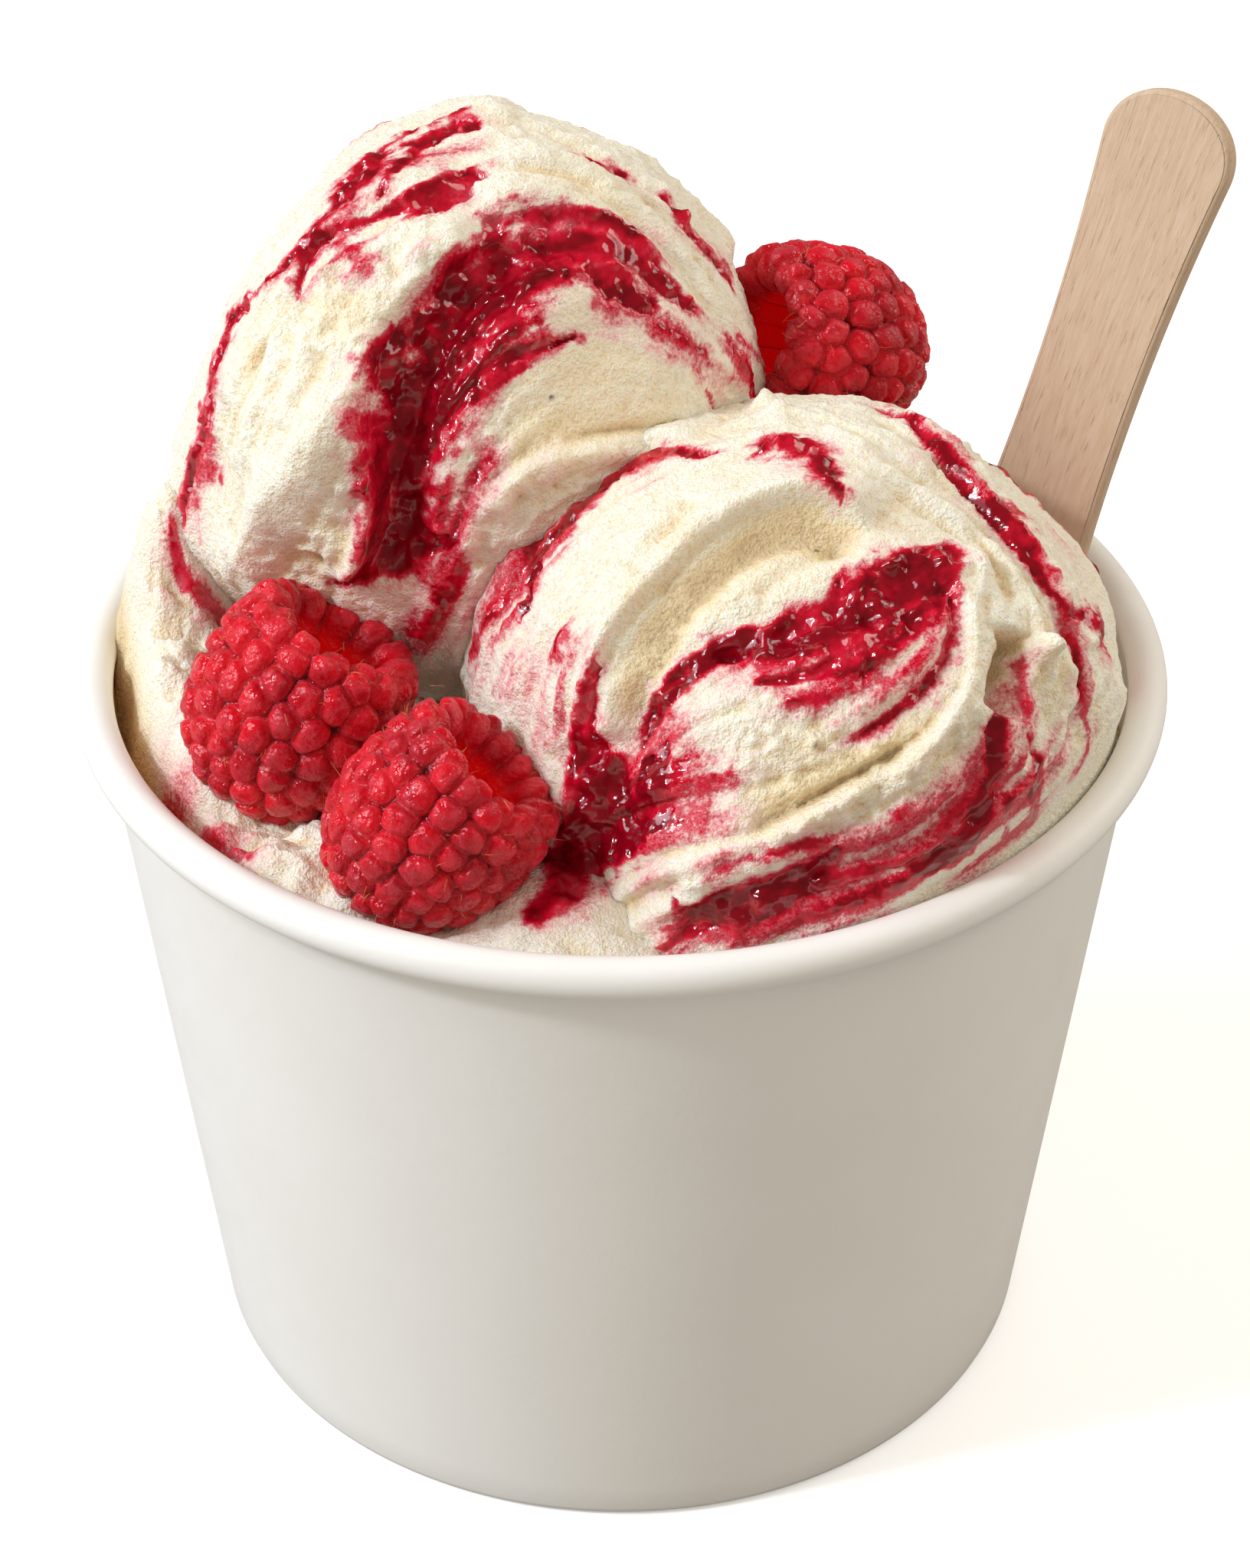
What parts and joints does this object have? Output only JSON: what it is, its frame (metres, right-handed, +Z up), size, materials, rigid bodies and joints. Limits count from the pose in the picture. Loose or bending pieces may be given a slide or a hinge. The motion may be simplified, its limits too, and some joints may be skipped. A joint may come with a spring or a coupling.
{
  "type": "gelato cup",
  "caption": "White paper cup of raspberry ripple gelato in two scoops, with fresh raspberries and a flat wooden spoon.",
  "frame": {"origin": "on the surface the cup stands on, under the middle of the whole part's box; the cup's own axis stands at x = -1.35 mm, y = 0", "axes": "+Z up, +X to the side of the wooden spoon and the front scoop, -Y towards the viewer"},
  "size_m": [0.099, 0.095, 0.1134],
  "materials": {
    "cup_paper": "satin",
    "gelato": "matte",
    "raspberry": "satin",
    "birch_wood": "matte"
  },
  "bodies": {
    "root": {"cup_wall": "cup_paper", "cup_base": "cup_paper", "gelato_fill": "gelato", "scoop_back": "gelato", "scoop_front": "gelato", "raspberry_left": "raspberry", "raspberry_front": "raspberry", "raspberry_back": "raspberry", "wooden_spoon": "birch_wood"}
  },
  "joints": []
}
